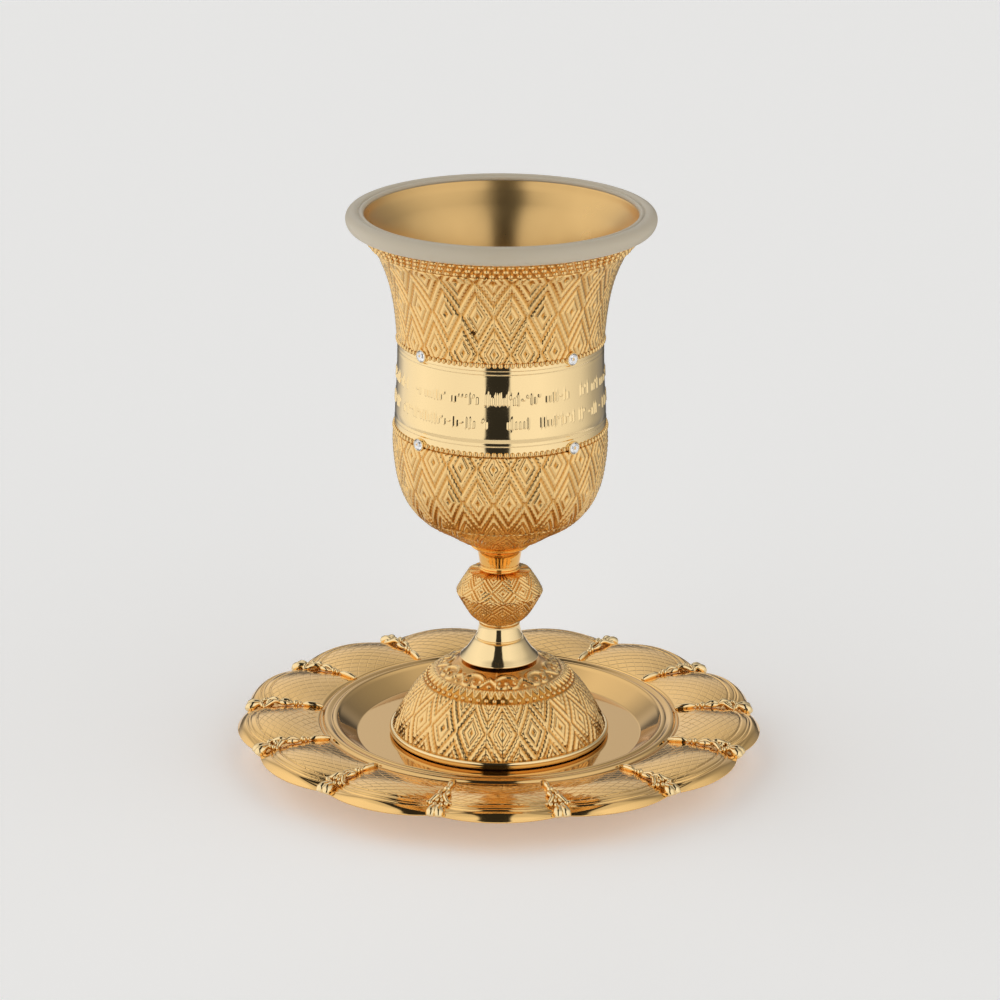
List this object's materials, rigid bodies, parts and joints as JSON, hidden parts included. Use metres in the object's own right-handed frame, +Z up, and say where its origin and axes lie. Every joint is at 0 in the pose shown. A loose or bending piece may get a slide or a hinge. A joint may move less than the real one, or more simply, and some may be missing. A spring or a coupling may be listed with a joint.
{
  "type": "kiddush cup with saucer",
  "caption": "Gold plated stemmed blessing cup with embossed diamonds, smooth band, clear stones and soft rim ring, resting in a petalled saucer.",
  "frame": {"origin": "on the table, under the middle of the saucer", "axes": "+Z up along the cup's axis, -Y to the front, where a petal's middle lies"},
  "size_m": [0.134, 0.135, 0.1448],
  "materials": {
    "satin_gold": "satin gold plate",
    "embossed_gold": "embossed bright gold plate",
    "polished_gold": "polished gold plate",
    "spun_gold": "spun satin gold",
    "milky_ring": "milky soft plastic",
    "crystal": "faceted clear"
  },
  "bodies": {
    "root": {"saucer": "satin_gold", "foot": "embossed_gold", "lower_stem": "polished_gold", "knop": "embossed_gold", "upper_stem": "polished_gold", "sleeve": "embossed_gold", "liner": "spun_gold", "rim_ring": "milky_ring", "stone_1": "crystal", "stone_2": "crystal", "stone_3": "crystal", "stone_4": "crystal", "stone_5": "crystal", "stone_6": "crystal", "stone_7": "crystal", "stone_8": "crystal"}
  },
  "joints": []
}
